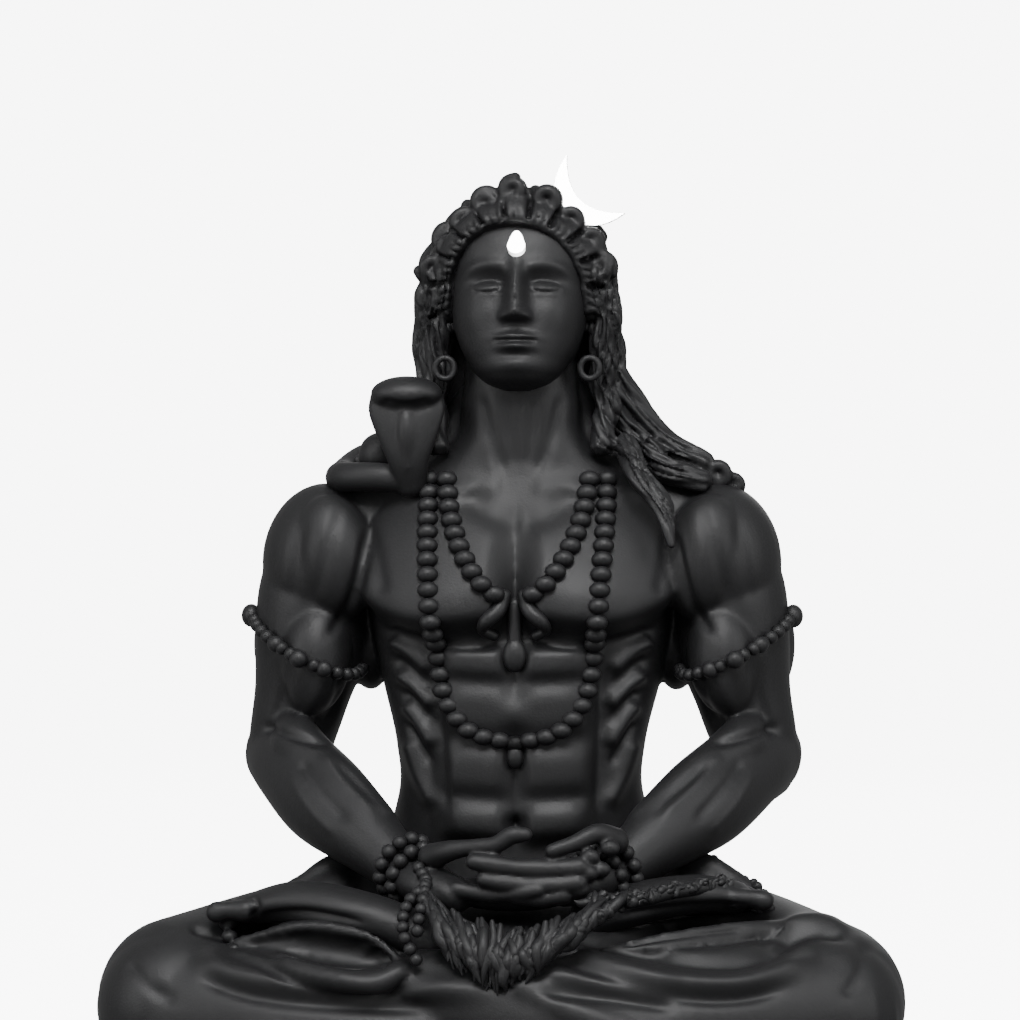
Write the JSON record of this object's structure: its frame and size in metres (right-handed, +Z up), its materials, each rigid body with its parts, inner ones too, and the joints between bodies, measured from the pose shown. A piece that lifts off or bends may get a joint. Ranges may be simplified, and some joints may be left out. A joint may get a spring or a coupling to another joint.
{
  "type": "seated shiva figure",
  "caption": "Seated Shiva in black resin: lotus seat, cobra at the shoulder, bead strings, fur-edged seat, low oval base, white moon and forehead mark.",
  "frame": {"origin": "middle of the underside of the base", "axes": "+Z up, the figure faces -Y, +X is its left side"},
  "size_m": [0.1265, 0.0799, 0.153],
  "materials": {
    "black_resin": "cast resin, satin black",
    "white_inlay": "satin white"
  },
  "bodies": {
    "root": {"figure": "black_resin", "crescent_moon": "white_inlay", "forehead_mark": "white_inlay"}
  },
  "joints": []
}
